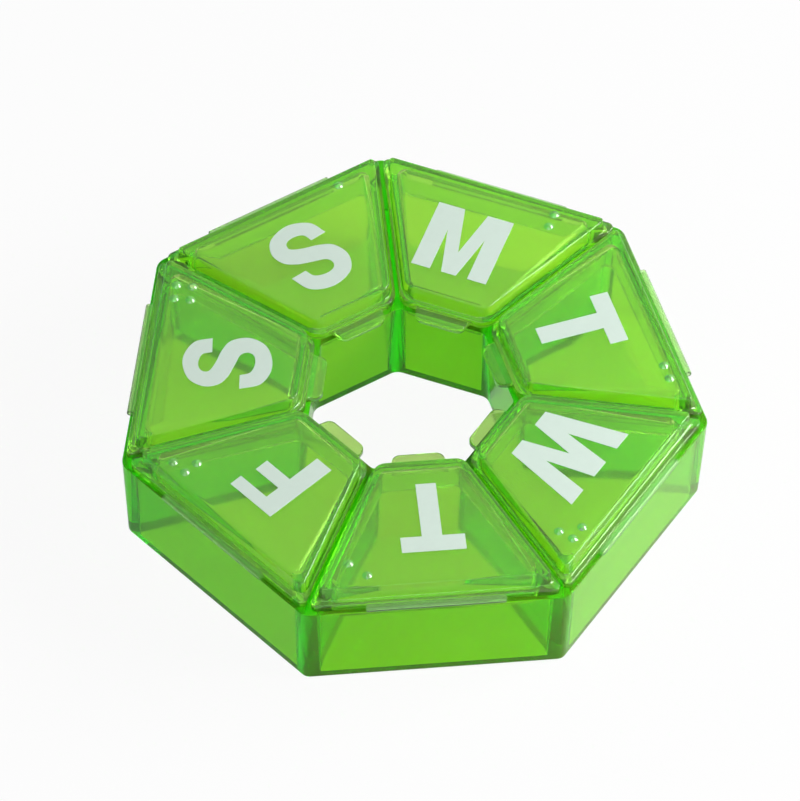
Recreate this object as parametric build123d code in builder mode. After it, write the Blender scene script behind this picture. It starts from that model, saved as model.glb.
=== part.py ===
from build123d import *
from math import cos, radians, tan
import os

# A ring of seven covered pill boxes, one for each day of the week, round an open centre.
# The ring's axis is Z, its base lies on Z = 0, and the side with Thursday's lid faces -Y.
# Lengths are millimetres and angles are degrees.

# Days, counted from the side left of +Y and turning left
day_names = ["sunday", "saturday", "friday", "thursday", "wednesday", "tuesday", "monday"]
day_count = len(day_names)
day_turn = 360 / day_count
half_turn = day_turn / 2
rear_angle = 90

# Tray: outer wall and centre hole
rim_radius = 52.0  # from the axis to a corner of the outer wall at the rim, before rounding
rim_height = 19.25
rim_corner = 2.8
rim_round = 0.3
hole_radius = 18.2  # from the axis to a corner of the centre hole at the rim, before rounding
hole_corner = 1.2
draft = 3.1
base_round = 0.9
hole_foot_round = 0.6

# Tray: seven pockets, parted by partitions that grow thicker towards the floor
wall = 1.2
floor = 1.3
partition = 1.6
pocket_draft = 2.4
pocket_outer_corner = 0.5  # at the floor, as the next is
pocket_inner_corner = 0.7

# Lid: a flange on the rim, and a raised top which is hollow below
lid_seat_clearance = 0.1
lid_rim_setback = 0.6  # from the rim's outer edge to the lid's outer edge
lid_hole_setback = 0.8  # from the hole's edge to the lid's inner edge
lid_gap = 0.66  # between two neighbouring lids
flange_thickness = 1.5
flange_outer_corner = 1.1
flange_inner_corner = 3.0
flange_round = 0.35
raised_height = 2.6
raised_outer_inset = 1.32
raised_inner_inset = 1.1
raised_side_inset = 0.8
raised_outer_corner = 0.8
raised_inner_corner = 2.6
raised_draft = 3.0
raised_round = 0.45
top_thickness = 1.2
shell_thickness = 1.2

# Lid: sealing rib, which hangs into the pocket and swings clear of the partitions
rib_depth = 3.0
rib_draft = 4.0
rib_outer_corner = 2.7

# Lid: thumb tab, which stands out over the centre hole
tab_length = 2.6
tab_root_half_width = 5.0
tab_end_half_width = 4.2
tab_corner = 1.5
tab_thickness = 1.0
tab_round = 0.25

# Living hinge: a thin strip that leaves the rim and turns back into the lid's outer edge
hinge_length = 24.0
hinge_thickness = 0.4
hinge_bend_radius = 0.65  # of the strip's outer face
hinge_bulge = 0.6  # how far the strip stands out from the wall at the rim
hinge_root_clearance = 0.1  # from the lid's outer edge to the strip's end on the rim

overrun = 1.0

# Sizes that follow
rim_apothem = rim_radius * cos(radians(half_turn))
hole_apothem = hole_radius * cos(radians(half_turn))
pocket_lean = (rim_height - floor) * tan(radians(pocket_draft))
lid_bottom = rim_height + lid_seat_clearance
flange_top = lid_bottom + flange_thickness
lid_top = flange_top + raised_height
lid_outer = rim_apothem - lid_rim_setback
lid_inner = hole_apothem + lid_hole_setback
raised_outer = lid_outer - raised_outer_inset
raised_inner = lid_inner + raised_inner_inset
raised_inset = lid_gap / 2 + raised_side_inset
rib_lean = rib_depth * tan(radians(rib_draft))
hinge_centre_radius = rim_apothem + hinge_bulge - hinge_bend_radius


def day_angle(day):
    """Direction from the axis to the middle of one day's side."""
    return rear_angle + half_turn + day * day_turn


def day_plane(day, height):
    """A level plane whose X axis points from the ring's axis to the middle of one day's side."""
    return Plane.XY.rotated((0, 0, day_angle(day))).offset(height)


def sector(outer, inner, inset, outer_corner, inner_corner):
    """A wedge of the ring drawn along +X, its sides set in from the planes that part the days."""

    def half_width(radius):
        return radius * tan(radians(half_turn)) - inset / cos(radians(half_turn))

    with BuildSketch() as shape:
        with BuildLine():
            Polyline(
                (outer, half_width(outer)),
                (inner, half_width(inner)),
                (inner, -half_width(inner)),
                (outer, -half_width(outer)),
                close=True,
            )
        make_face()
        fillet(shape.vertices().sort_by(Axis.X)[:2], inner_corner)
        fillet(shape.vertices().sort_by(Axis.X)[-2:], outer_corner)
    return shape.sketch


def level_edges(part, height, tolerance=1e-4):
    """The edges of a part that lie level at one height."""
    return part.edges().filter_by(
        lambda edge: abs(edge.bounding_box().min.Z - height) < tolerance
        and abs(edge.bounding_box().max.Z - height) < tolerance
    )


def within_hole(edge):
    """Whether an edge lies at the centre hole and not at the outer wall."""
    return edge.center().length < (hole_radius + rim_apothem) / 2


def build_tray():
    pocket = sector(
        rim_apothem - wall - pocket_lean,
        hole_apothem + wall + pocket_lean,
        partition / 2 + pocket_lean,
        pocket_outer_corner,
        pocket_inner_corner,
    )
    with BuildPart() as tray:
        with BuildSketch(Plane.XY.offset(rim_height)) as outline:
            RegularPolygon(rim_radius, day_count, rotation=rear_angle)
            fillet(outline.vertices(), rim_corner)
        extrude(amount=-rim_height, taper=draft)
        fillet(level_edges(tray, 0), base_round)
        fillet(level_edges(tray, rim_height), rim_round)
        with BuildSketch(Plane.XY.offset(rim_height)) as hole:
            RegularPolygon(hole_radius, day_count, rotation=rear_angle)
            fillet(hole.vertices(), hole_corner)
        extrude(amount=-rim_height, taper=-draft, mode=Mode.SUBTRACT)
        fillet(level_edges(tray, 0).filter_by(within_hole), hole_foot_round)
        for day in range(day_count):
            with BuildSketch(day_plane(day, floor)):
                add(pocket)
        extrude(amount=rim_height - floor, taper=-pocket_draft, mode=Mode.SUBTRACT)
    tray.part.label = "tray"
    return tray.part


def build_tab(day):
    """The tongue that a thumb lifts, which runs into the flange as far as the raised top."""
    with BuildPart() as tab:
        with BuildSketch(day_plane(day, lid_bottom)) as outline:
            with BuildLine():
                Polyline(
                    (raised_inner, tab_root_half_width),
                    (lid_inner, tab_root_half_width),
                    (lid_inner - tab_length, tab_end_half_width),
                    (lid_inner - tab_length, -tab_end_half_width),
                    (lid_inner, -tab_root_half_width),
                    (raised_inner, -tab_root_half_width),
                    close=True,
                )
            make_face()
            fillet(outline.vertices().sort_by(Axis.X)[:2], tab_corner)
        extrude(amount=tab_thickness)
        fillet(level_edges(tab, lid_bottom + tab_thickness), tab_round)
    return tab.part


def build_lid(day):
    flange = sector(lid_outer, lid_inner, lid_gap / 2, flange_outer_corner, flange_inner_corner)
    raised = sector(
        raised_outer, raised_inner, raised_inset, raised_outer_corner, raised_inner_corner
    )
    hollow = sector(
        raised_outer - shell_thickness,
        raised_inner + shell_thickness,
        raised_inset + shell_thickness,
        rib_outer_corner - shell_thickness,
        raised_inner_corner - shell_thickness,
    )
    rib = sector(
        raised_outer - rib_lean,
        raised_inner + rib_lean,
        raised_inset + rib_lean,
        rib_outer_corner - rib_lean,
        raised_inner_corner - rib_lean,
    )
    tab = build_tab(day)
    with BuildPart() as lid:
        with BuildSketch(day_plane(day, lid_bottom)):
            add(flange)
        extrude(amount=flange_thickness)
        fillet(level_edges(lid, flange_top), flange_round)
        with BuildSketch(day_plane(day, flange_top)):
            add(raised)
        extrude(amount=raised_height, taper=raised_draft)
        fillet(level_edges(lid, lid_top), raised_round)
        add(tab)
        with BuildSketch(day_plane(day, lid_bottom - rib_depth)):
            add(rib)
        extrude(amount=rib_depth, taper=-rib_draft)
        with BuildSketch(day_plane(day, lid_bottom)):
            add(hollow)
        extrude(
            amount=lid_top - top_thickness - lid_bottom, taper=raised_draft, mode=Mode.SUBTRACT
        )
        with BuildSketch(day_plane(day, lid_bottom)):
            add(hollow)
        extrude(amount=-(rib_depth + overrun), mode=Mode.SUBTRACT)
    lid.part.label = f"lid_{day_names[day]}"
    return lid.part


def build_hinge(day):
    level = day_plane(day, rim_height)
    section = Plane(origin=level.origin, x_dir=level.x_dir, z_dir=-level.y_dir)
    lid_leg = 2 * hinge_bend_radius
    root = lid_outer + hinge_root_clearance
    centre = (hinge_centre_radius, hinge_bend_radius)
    with BuildPart() as hinge:
        with BuildSketch(section):
            with BuildLine():
                CenterArc(centre, hinge_bend_radius, -90, 180)
                CenterArc(centre, hinge_bend_radius - hinge_thickness, -90, 180)
                Polyline(
                    (hinge_centre_radius, 0),
                    (root, 0),
                    (root, hinge_thickness),
                    (hinge_centre_radius, hinge_thickness),
                )
                Polyline(
                    (hinge_centre_radius, lid_leg),
                    (lid_outer, lid_leg),
                    (lid_outer, lid_leg - hinge_thickness),
                    (hinge_centre_radius, lid_leg - hinge_thickness),
                )
            make_face()
        extrude(amount=hinge_length / 2, both=True)
    hinge.part.label = f"hinge_{day_names[day]}"
    return hinge.part


os.makedirs("parts", exist_ok=True)
pieces = [build_tray()]
for day in range(day_count):
    pieces.append(build_lid(day))
    pieces.append(build_hinge(day))
for piece in pieces:
    export_step(piece, f"parts/{piece.label}.step")
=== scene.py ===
import math
import bmesh
import bpy
from mathutils import Matrix, Vector


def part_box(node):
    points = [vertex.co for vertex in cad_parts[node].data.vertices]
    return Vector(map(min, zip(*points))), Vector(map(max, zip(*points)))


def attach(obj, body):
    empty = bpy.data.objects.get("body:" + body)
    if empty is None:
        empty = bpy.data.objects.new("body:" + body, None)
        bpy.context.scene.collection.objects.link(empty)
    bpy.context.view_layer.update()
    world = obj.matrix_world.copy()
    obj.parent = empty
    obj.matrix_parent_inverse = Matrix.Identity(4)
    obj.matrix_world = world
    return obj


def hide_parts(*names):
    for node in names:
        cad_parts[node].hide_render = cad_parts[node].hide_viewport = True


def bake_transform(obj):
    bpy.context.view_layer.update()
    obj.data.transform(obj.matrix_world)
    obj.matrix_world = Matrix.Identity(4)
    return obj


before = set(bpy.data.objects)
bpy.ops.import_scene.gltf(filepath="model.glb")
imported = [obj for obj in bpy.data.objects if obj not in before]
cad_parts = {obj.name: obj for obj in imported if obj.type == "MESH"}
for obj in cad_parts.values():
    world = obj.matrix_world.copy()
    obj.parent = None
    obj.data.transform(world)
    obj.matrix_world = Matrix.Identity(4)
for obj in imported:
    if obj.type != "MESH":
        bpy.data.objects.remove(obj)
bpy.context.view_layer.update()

mm = 0.001

# The ring's seven sides, in the order of the CAD model: each day's letter and braille digit
days = {
    "sunday": ("S", (1,)),
    "saturday": ("S", (1, 2, 4, 5)),
    "friday": ("F", (1, 2, 4)),
    "thursday": ("T", (1, 5)),
    "wednesday": ("W", (1, 4, 5)),
    "tuesday": ("T", (1, 4)),
    "monday": ("M", (1, 2)),
}
side_count = len(days)
top_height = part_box("lid_thursday")[1].z


def side_matrix(index, height):
    """Maps a day's own axes (right as read, outward, up) to the ring's, at a height."""
    turn = (index + 0.5) * math.tau / side_count
    return Matrix.Translation((0, 0, height)) @ Matrix.Rotation(turn, 4, "Z")


# Materials, and the nodes of a material or the world

def new_material(name):
    """A material with only a Principled shader, and that shader."""
    material = bpy.data.materials.new(name)
    material.use_nodes = True
    return material, material.node_tree.nodes["Principled BSDF"]


def add_node(owner, kind, **values):
    """A new node in a material or the world, with values for its sockets and settings."""
    node = owner.node_tree.nodes.new(kind)
    for key, value in values.items():
        if key in node.inputs:
            node.inputs[key].default_value = value
        else:
            setattr(node, key, value)
    return node


def link(owner, out_socket, in_socket):
    owner.node_tree.links.new(out_socket, in_socket)


def add_noise(material, scale, detail, roughness):
    """A noise pattern in the object's own space."""
    place = add_node(material, "ShaderNodeTexCoord")
    noise = add_node(
        material, "ShaderNodeTexNoise", Scale=scale, Detail=detail, Roughness=roughness
    )
    link(material, place.outputs["Object"], noise.inputs["Vector"])
    return noise.outputs["Fac"]


def colour_by(material, shader, pattern, first, second):
    """Colours a shader between two tints, as a pattern says."""
    tint = add_node(material, "ShaderNodeMix", data_type="RGBA")
    tint.inputs["A"].default_value = (*first, 1)
    tint.inputs["B"].default_value = (*second, 1)
    link(material, pattern, tint.inputs["Factor"])
    link(material, tint.outputs["Result"], shader.inputs["Base Color"])


def raise_by(material, shader, pattern, strength, distance):
    """Gives a shader a shallow relief, as a pattern says."""
    bump = add_node(material, "ShaderNodeBump", Strength=strength, Distance=distance)
    link(material, pattern, bump.inputs["Height"])
    link(material, bump.outputs["Normal"], shader.inputs["Normal"])


# Plastics: translucent coloured polypropylene
plastic_ior = 1.32
streak_share = 0.05
skin_roughness = 0.05
full_loss = 1500  # per metre, of a colour channel that the depth takes away entirely


def plastic(name, tint, loss, roughness, haze, gleam=(1, 1, 1), gloss=0.0):
    """Translucent plastic, with faint streaks of its tint and the slow waves of a moulded surface.

    Haze is the share of light that a surface scatters. Loss is what a millimetre of depth takes
    away of red, green and blue, as an exponent. Gleam is the colour of the reflections, and gloss
    the share of a clear skin."""
    material, shader = new_material(name)
    streaks = add_noise(material, scale=38, detail=3, roughness=0.5)
    darker = [c * (1 - streak_share) for c in tint]
    lighter = [min(c * (1 + streak_share), 1) for c in tint]
    colour_by(material, shader, streaks, darker, lighter)
    waves = add_noise(material, scale=90, detail=2, roughness=0.4)
    raise_by(material, shader, waves, strength=0.015, distance=0.4 * mm)
    shader.inputs["Roughness"].default_value = roughness
    shader.inputs["IOR"].default_value = plastic_ior
    shader.inputs["Specular Tint"].default_value = (*gleam, 1)
    shader.inputs["Transmission Weight"].default_value = 1 - haze
    shader.inputs["Coat Weight"].default_value = gloss
    shader.inputs["Coat Roughness"].default_value = skin_roughness
    inside = add_node(material, "ShaderNodeVolumeAbsorption", Density=full_loss)
    inside.inputs["Color"].default_value = (*(1 - c / mm / full_loss for c in loss), 1)
    output = material.node_tree.nodes["Material Output"]
    link(material, inside.outputs["Volume"], output.inputs["Volume"])
    return material


tray_plastic = plastic(
    "tray_green", tint=(0.935, 0.95, 0.105), loss=(0.44, 0.0, 1.19), roughness=0.12, haze=0.08,
    gleam=(0.25, 1, 0.15),
)
lid_loss = (0.10, 0.0, 0.17)
lid_plastic = plastic(
    "lid_green", tint=(0.77, 0.98, 0.34), loss=lid_loss, roughness=0.12, haze=0.075, gloss=0.3
)
# The braille dots are small lenses, which show paler and glossier than the lid: their paler, hazier
# plastic is painted highlight, for the bright rings that the domes show
dot_highlight_plastic = plastic(
    "dot_highlight_green", tint=(0.80, 0.99, 0.54), loss=lid_loss, roughness=0.05, haze=0.20, gloss=0.8
)
# Folded polypropylene whitens, so the hinge strips are hazier and less yellow than the lids
hinge_plastic = plastic(
    "hinge_green", tint=(0.72, 0.99, 0.55), loss=lid_loss, roughness=0.12, haze=0.11
)

# Screen-printed ink, with a slightly uneven coat
ink, ink_shader = new_material("print_ink")
ink_coat = add_noise(ink, scale=700, detail=3, roughness=0.6)
colour_by(ink, ink_shader, ink_coat, (0.71, 0.85, 0.755), (0.76, 0.91, 0.81))
raise_by(ink, ink_shader, ink_coat, strength=0.08, distance=0.1 * mm)
ink_shader.inputs["Roughness"].default_value = 0.5


def dress(node, material):
    """Gives a CAD node its material."""
    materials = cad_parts[node].data.materials
    materials.clear()
    materials.append(material)


dress("tray", tray_plastic)
for day in days:
    dress(f"lid_{day}", lid_plastic)
    dress(f"hinge_{day}", lid_plastic)


def object_from(shape, name, material):
    """Turns a bmesh into an object in the scene."""
    mesh = bpy.data.meshes.new(name)
    shape.to_mesh(mesh)
    shape.free()
    mesh.materials.append(material)
    piece = bpy.data.objects.new(name, mesh)
    bpy.context.scene.collection.objects.link(piece)
    return piece


# Day letters, printed on the lids. Their outlines are in millimetres: right as read, and up
# from the base line
cap_height = 14.5
curve_steps = 10


def smooth_run(points):
    """Points along a curve that passes through all of the given points (Catmull-Rom)."""
    points = [Vector(p) for p in points]
    ends = [points[0] * 2 - points[1], *points, points[-1] * 2 - points[-2]]
    run = []
    for a, b, c, d in zip(ends, ends[1:], ends[2:], ends[3:]):
        slope = c - a
        bend = a * 2 - b * 5 + c * 4 - d
        twist = b * 3 - a - c * 3 + d
        for step in range(curve_steps):
            t = step / curve_steps
            run.append((b * 2 + slope * t + bend * t**2 + twist * t**3) / 2)
    return [*run, points[-1]]


def outline_t():
    width, bar, stem_left, stem_right = 11.05, 3.25, 3.85, 7.35
    under_bar = cap_height - bar
    return [
        (0, cap_height), (0, under_bar), (stem_left, under_bar), (stem_left, 0),
        (stem_right, 0), (stem_right, under_bar), (width, under_bar), (width, cap_height),
    ]


def outline_f():
    stem, top_reach, middle_reach = 3.5, 9.8, 9.1
    top_bar, middle_low, middle_high = 12.0, 6.5, 9.2
    return [
        (0, cap_height), (0, 0), (stem, 0), (stem, middle_low), (middle_reach, middle_low),
        (middle_reach, middle_high), (stem, middle_high), (stem, top_bar),
        (top_reach, top_bar), (top_reach, cap_height),
    ]


def outline_m():
    width, stem, shoulder = 13.75, 3.45, 4.75
    foot_left, foot_right, valley = 5.55, 8.2, 5.0
    counter = 9.2
    return [
        (0, cap_height), (0, 0), (stem, 0), (stem, counter), (foot_left, 0),
        (foot_right, 0), (width - stem, counter), (width - stem, 0), (width, 0),
        (width, cap_height), (width - shoulder, cap_height), (width / 2, valley),
        (shoulder, cap_height),
    ]


def outline_w():
    width, stroke, foot_in, foot_out, top_in = 18.2, 3.75, 3.7, 7.1, 7.25
    notch_across, notch_up, centre_notch_up = 5.6, 5.7, 8.3
    return [
        (0, cap_height), (foot_in, 0), (foot_out, 0), (width / 2, centre_notch_up),
        (width - foot_out, 0), (width - foot_in, 0), (width, cap_height),
        (width - stroke, cap_height), (width - notch_across, notch_up),
        (width - top_in, cap_height), (top_in, cap_height), (notch_across, notch_up),
        (stroke, cap_height),
    ]


def outline_s():
    outer_then_lower = smooth_run([
        (10.75, 11.0), (9.35, 14.1), (5.55, 15.5), (1.6, 14.15), (0.1, 11.35), (0.8, 8.75),
        (2.75, 7.3), (5.4, 6.45), (7.7, 5.75), (8.4, 4.5), (7.8, 3.4), (6.1, 3.0),
        (4.1, 3.6), (3.3, 5.3),
    ])
    lower_then_upper = smooth_run([
        (0.35, 5.0), (1.9, 1.45), (5.75, 0.0), (9.95, 1.35), (11.6, 4.55), (10.6, 7.7),
        (8.3, 9.05), (5.6, 9.75), (3.6, 10.6), (3.3, 11.6), (3.95, 12.45), (5.45, 12.75),
        (7.05, 12.25), (7.7, 10.65),
    ])
    return outer_then_lower + lower_then_upper


outlines = {"T": outline_t, "F": outline_f, "M": outline_m, "W": outline_w, "S": outline_s}
# Where each letter's left edge and base line lie, in millimetres from the middle of its side
# and from the ring's axis
letter_places = {
    "sunday": (-6.7, 23.6),
    "saturday": (-7.2, 23.6),
    "friday": (-5.6, 24.05),
    "thursday": (-6.0, 23.7),
    "wednesday": (-9.9, 23.8),
    "tuesday": (-6.9, 23.95),
    "monday": (-8.25, 23.5),
}
ink_thickness = 0.07
ink_sunk = 0.01


def printed_letter(index, day, letter):
    """A thin layer of ink with the letter's outline, on top of its lid."""
    left, base = letter_places[day]
    to_ring = side_matrix(index, top_height)
    shape = bmesh.new()

    def outline_at(height):
        return [
            shape.verts.new(to_ring @ Vector(((x + left) * mm, (y + base) * mm, height * mm)))
            for x, y in outlines[letter]()
        ]

    low = outline_at(-ink_sunk)
    high = outline_at(ink_thickness)
    shape.faces.new(low[::-1])
    shape.faces.new(high)
    for a in range(len(low)):
        b = (a + 1) % len(low)
        shape.faces.new((low[a], low[b], high[b], high[a]))
    for face in shape.faces:
        face.normal_update()
    bmesh.ops.triangulate(shape, faces=[f for f in shape.faces if len(f.verts) > 4])
    bmesh.ops.recalc_face_normals(shape, faces=shape.faces)
    piece = object_from(shape, f"letter_{day}", ink)
    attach(piece, f"lid_{day}")


# Braille digits, raised on the lids, in millimetres. Dots 1 and 2 stand in the left column, and
# 4 and 5 in the right
dot_columns = (11.4, 14.35)
dot_rows = (42.4, 39.6)
dots_per_column = 3
dot_radius = 0.95
dot_rise = 0.55
dot_sunk = 0.05
dot_skirt = 0.01  # the height over the lid at which the dots' paler plastic, a painted highlight, starts
dot_power = 1.15  # over 1, a dome runs out more gently at its foot
dot_rings = 8
dot_sectors = 32
crease_angle = math.radians(35)
face_weight = 80
weld = 0.001 * mm


def add_dot(shape, to_ring, column, row):
    """A low dome, sunk a little into the lid so that the two join."""
    centre = Vector((column, row, 0))
    rings = []
    for ring in range(dot_rings):
        share = ring / dot_rings
        radius = dot_radius * (1 - share)
        rise = (dot_rise + dot_sunk) * math.sin(share * math.pi / 2) ** dot_power - dot_sunk
        points = []
        for sector in range(dot_sectors):
            angle = math.tau * sector / dot_sectors
            from_centre = Vector((radius * math.cos(angle), radius * math.sin(angle), rise))
            points.append(shape.verts.new(to_ring @ ((centre + from_centre) * mm)))
        rings.append(points)
    summit = shape.verts.new(to_ring @ ((centre + Vector((0, 0, dot_rise))) * mm))
    for sector in range(dot_sectors):
        beside = (sector + 1) % dot_sectors
        for lower, upper in zip(rings, rings[1:]):
            shape.faces.new((lower[sector], lower[beside], upper[beside], upper[sector]))
        shape.faces.new((rings[-1][sector], rings[-1][beside], summit))
    shape.faces.new(rings[0][::-1])


def settle(piece):
    """Applies a piece's modifiers to its mesh."""
    bpy.context.view_layer.update()
    graph = bpy.context.evaluated_depsgraph_get()
    mesh = bpy.data.meshes.new_from_object(piece.evaluated_get(graph))
    piece.modifiers.clear()
    piece.data = mesh


def lid_with_dots(index, day, dots):
    """The lid's shell with its raised dots moulded on, in place of the plain lid."""
    to_ring = side_matrix(index, top_height)
    shell = bmesh.new()
    shell.from_mesh(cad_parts[f"lid_{day}"].data)
    bmesh.ops.remove_doubles(shell, verts=shell.verts, dist=weld)
    piece = object_from(shell, f"lid_shell_{day}", lid_plastic)
    domes = bmesh.new()
    for dot in dots:
        column, row = divmod(dot - 1, dots_per_column)
        add_dot(domes, to_ring, dot_columns[column], dot_rows[row])
    bmesh.ops.recalc_face_normals(domes, faces=domes.faces)
    cutter = object_from(domes, "domes", lid_plastic)
    union = piece.modifiers.new("union", "BOOLEAN")
    union.operation = "UNION"
    union.solver = "EXACT"
    union.object = cutter
    settle(piece)
    bpy.data.objects.remove(cutter)
    mesh = piece.data
    mesh.name = piece.name
    # The faces of the domes get the paler dot plastic: painted highlight, for the rings that these
    # lenses show
    mesh.materials.append(dot_highlight_plastic)
    for polygon in mesh.polygons:
        if polygon.center.z > top_height + dot_skirt * mm:
            polygon.material_index = len(mesh.materials) - 1
    mesh.shade_smooth()
    mesh.set_sharp_from_angle(angle=crease_angle)
    even = piece.modifiers.new("even", "WEIGHTED_NORMAL")
    even.keep_sharp = True
    even.weight = face_weight
    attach(piece, f"lid_{day}")
    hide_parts(f"lid_{day}")


# Living hinges: each a thin bent strip from the rim to the lid's edge
hinge_low, hinge_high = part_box("hinge_thursday")
hinge_half_length = hinge_high.x
hinge_reach = -hinge_low.y
hinge_foot = hinge_low.z
hinge_head = hinge_high.z
hinge_root = -hinge_high.y
web_edge = 0.38 * mm
web_waist = 0.28 * mm
web_clear = 0.02 * mm
web_bend_steps = 20
web_leg_steps = 3
web_end_steps = 4
web_end_share = 0.12  # of the thickness, that is left at the very end of the strip


def web_section():
    """The strip's middle line, seen from its end, as (outward, up) points with its thickness."""
    bend = (hinge_head - hinge_foot) / 2
    middle = bend - web_edge / 2 - web_clear
    centre_out = hinge_reach - bend
    centre_up = hinge_foot + bend
    lid_end = hinge_root + web_clear
    line = []
    for step in range(web_leg_steps):
        out = hinge_root + (centre_out - hinge_root) * step / web_leg_steps
        line.append((out, centre_up - middle, web_edge))
    for step in range(web_bend_steps + 1):
        angle = math.pi * (step / web_bend_steps - 0.5)
        thin = web_edge - (web_edge - web_waist) * math.cos(angle) ** 2
        out = centre_out + middle * math.cos(angle)
        line.append((out, centre_up + middle * math.sin(angle), thin))
    for step in range(1, web_leg_steps + 1):
        out = centre_out + (lid_end - centre_out) * step / web_leg_steps
        line.append((out, centre_up + middle, web_edge))
    return line


def web_normals(line):
    """The direction across the strip's thickness, at each point of its middle line."""
    normals = []
    for i in range(len(line)):
        before = Vector(line[max(i - 1, 0)][:2])
        after = Vector(line[min(i + 1, len(line) - 1)][:2])
        along = (after - before).normalized()
        normals.append(Vector((along.y, -along.x)))
    return normals


def web_stations():
    """Places along the strip's length, with the share of its thickness there: its ends are round."""
    stations = []
    for step in range(web_end_steps + 1):
        angle = math.pi / 2 * step / web_end_steps
        across = -hinge_half_length + web_edge / 2 * (1 - math.cos(angle))
        stations.append((across, max(math.sin(angle), web_end_share)))
    return stations + [(-across, share) for across, share in reversed(stations)]


def hinge_web(index, day):
    """The bent strip, between the tray and the lid."""
    line = web_section()
    normals = web_normals(line)
    count = len(line)
    to_ring = side_matrix(index, 0)
    shape = bmesh.new()
    loops = []
    for across, share in web_stations():
        loop = []
        for side in (1, -1):
            for i in range(count)[::side]:
                out, up, thick = line[i]
                point = Vector((out, up)) + normals[i] * side * thick / 2 * share
                loop.append(shape.verts.new(to_ring @ Vector((across, point.x, point.y))))
        loops.append(loop)
    size = len(loops[0])
    for first, second in zip(loops, loops[1:]):
        for i in range(size):
            j = (i + 1) % size
            shape.faces.new((first[i], first[j], second[j], second[i]))
    for loop in (loops[0], loops[-1]):
        for i in range(count - 1):
            shape.faces.new((loop[i], loop[i + 1], loop[size - 2 - i], loop[size - 1 - i]))
    bmesh.ops.recalc_face_normals(shape, faces=shape.faces)
    for face in shape.faces:
        face.smooth = True
    piece = object_from(shape, f"hinge_web_{day}", hinge_plastic)
    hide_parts(f"hinge_{day}")
    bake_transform(piece)


for index, (day, (letter, dots)) in enumerate(days.items()):
    printed_letter(index, day, letter)
    lid_with_dots(index, day, dots)
    hinge_web(index, day)


# Floor and world: the camera sees them nearly white. Reflections and clear plastic show less of
# that white, so that it doesn't wash the green out
plain_white = (1, 1, 1, 1)
floor_share = 0.94
floor_share_in_plastic = 0.41
world_share = 1.0
world_share_in_plastic = 0.77


def seen_white(owner, share, share_in_plastic):
    """The share of plain white that the camera sees, and that reflections and plastic show."""
    rays = add_node(owner, "ShaderNodeLightPath")
    direct = add_node(owner, "ShaderNodeMath", operation="MULTIPLY")
    direct.inputs[1].default_value = share
    link(owner, rays.outputs["Is Camera Ray"], direct.inputs[0])
    bent = add_node(owner, "ShaderNodeMath", operation="MAXIMUM")
    link(owner, rays.outputs["Is Glossy Ray"], bent.inputs[0])
    link(owner, rays.outputs["Is Transmission Ray"], bent.inputs[1])
    chosen = add_node(owner, "ShaderNodeMix", data_type="FLOAT", B=share_in_plastic)
    link(owner, bent.outputs[0], chosen.inputs["Factor"])
    link(owner, direct.outputs[0], chosen.inputs["A"])
    return chosen.outputs["Result"]


def show_white(owner, plain, white, shown, surface):
    """Shows a share of white in place of the plain look, at an output's surface socket."""
    mixed = add_node(owner, "ShaderNodeMixShader")
    link(owner, shown, mixed.inputs[0])
    link(owner, plain.outputs[0], mixed.inputs[1])
    link(owner, white.outputs[0], mixed.inputs[2])
    link(owner, mixed.outputs[0], surface)


floor_reach = 3.0
floor_corners = [(-1, -1), (1, -1), (1, 1), (-1, 1)]
floor_drop = 0.1 * mm
paper_white = 0.8

floor_mesh = bpy.data.meshes.new("floor")
floor_points = [(x * floor_reach, y * floor_reach, 0) for x, y in floor_corners]
floor_mesh.from_pydata(floor_points, [], [(0, 1, 2, 3)])
floor = bpy.data.objects.new("floor", floor_mesh)
# A hair below the tray, so that air parts the two and the light stays inside the tray's base
floor.location.z = -floor_drop
bpy.context.scene.collection.objects.link(floor)

floor_paper, paper_shader = new_material("floor_paper")
paper_shader.inputs["Base Color"].default_value = (paper_white, paper_white, paper_white, 1)
paper_shader.inputs["Roughness"].default_value = 0.9
glow = add_node(floor_paper, "ShaderNodeEmission", Strength=1.0, Color=plain_white)
show_white(
    floor_paper, paper_shader, glow, seen_white(floor_paper, floor_share, floor_share_in_plastic),
    floor_paper.node_tree.nodes["Material Output"].inputs["Surface"],
)
floor_mesh.materials.append(floor_paper)

# The world's light fades from just above the horizon upwards
fade_settings = {"From Min": 0.05, "From Max": 0.45, "To Min": 0.79, "To Max": 0.5}

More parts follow.
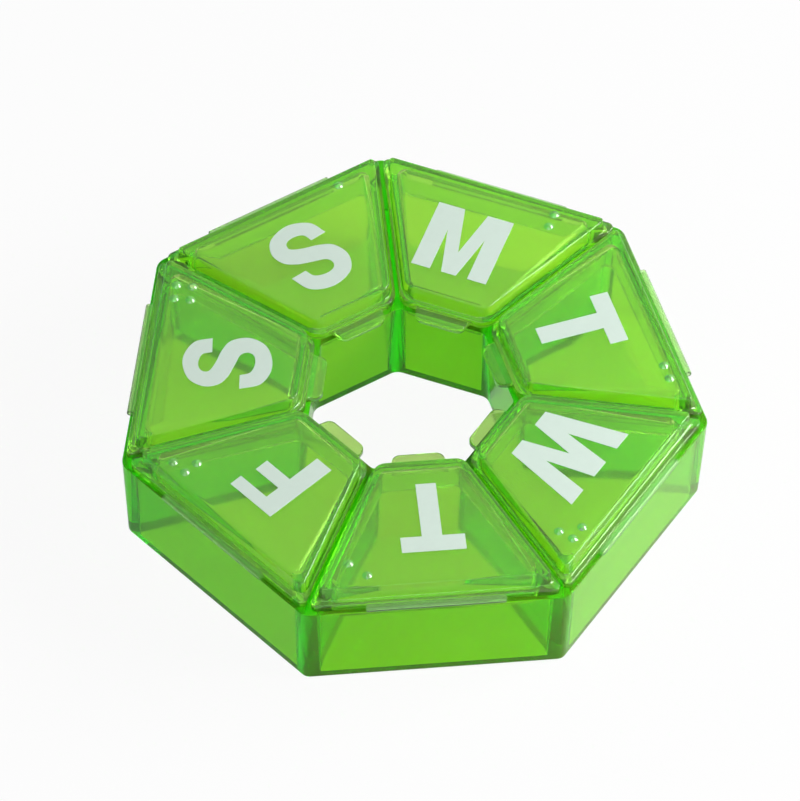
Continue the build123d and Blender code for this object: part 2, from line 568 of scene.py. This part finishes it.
world = bpy.data.worlds.new("studio")
bpy.context.scene.world = world
world.use_nodes = True
lit = world.node_tree.nodes["Background"]
white = add_node(world, "ShaderNodeBackground", Strength=1.0, Color=plain_white)
direction = add_node(world, "ShaderNodeTexCoord")
parts = add_node(world, "ShaderNodeSeparateXYZ")
fade = add_node(world, "ShaderNodeMapRange", **fade_settings)
link(world, direction.outputs["Generated"], parts.inputs[0])
link(world, parts.outputs["Z"], fade.inputs["Value"])
link(world, fade.outputs["Result"], lit.inputs["Strength"])
show_white(
    world, lit, white, seen_white(world, world_share, world_share_in_plastic),
    world.node_tree.nodes["World Output"].inputs["Surface"],
)

# Lamps
lamp_aim = Vector((0, 0, 0.01))


def softbox(name, place, width, height, power):
    """A soft rectangular lamp that faces the object."""
    lamp = bpy.data.lights.new(name, "AREA")
    lamp.shape = "RECTANGLE"
    lamp.size = width
    lamp.size_y = height
    lamp.energy = power
    box = bpy.data.objects.new(name, lamp)
    box.location = place
    box.rotation_mode = "QUATERNION"
    box.rotation_quaternion = (lamp_aim - Vector(place)).to_track_quat("-Z", "Y")
    bpy.context.scene.collection.objects.link(box)


softbox("key_right", place=(0.55, -0.05, 0.32), width=0.50, height=0.22, power=6.2)
softbox("fill_front", place=(-0.15, -0.55, 0.55), width=0.60, height=0.35, power=1.6)

# Camera, at the photograph's view. Its place is in rim radii from the middle of the ring's base
azimuth = math.radians(-6.62)
elevation = math.radians(51.75)
roll = math.radians(1.20)
rim_radius = 0.052
camera_back = 38.81
camera_right = -0.0290
camera_up = 0.1960
focal_pixels = 11631.3
photo_long_side = 801
sensor_width = 36
clip_start = 0.1
clip_end = 10

back = Vector((
    math.sin(azimuth) * math.cos(elevation),
    -math.cos(azimuth) * math.cos(elevation),
    math.sin(elevation),
))
right = Vector((math.cos(azimuth), math.sin(azimuth), 0))
up = back.cross(right)
camera_data = bpy.data.cameras.new("camera")
camera = bpy.data.objects.new("camera", camera_data)
bpy.context.scene.collection.objects.link(camera)
bpy.context.scene.camera = camera
camera_place = (back * camera_back + right * camera_right + up * camera_up) * rim_radius
x_axis = right * math.cos(roll) + up * math.sin(roll)
y_axis = up * math.cos(roll) - right * math.sin(roll)
camera.matrix_world = Matrix((
    (x_axis.x, y_axis.x, back.x, camera_place.x),
    (x_axis.y, y_axis.y, back.y, camera_place.y),
    (x_axis.z, y_axis.z, back.z, camera_place.z),
    (0, 0, 0, 1),
))
camera_data.sensor_width = sensor_width
camera_data.lens = focal_pixels * sensor_width / photo_long_side
camera_data.clip_start = clip_start
camera_data.clip_end = clip_end

bpy.context.scene.view_settings.view_transform = "Standard"
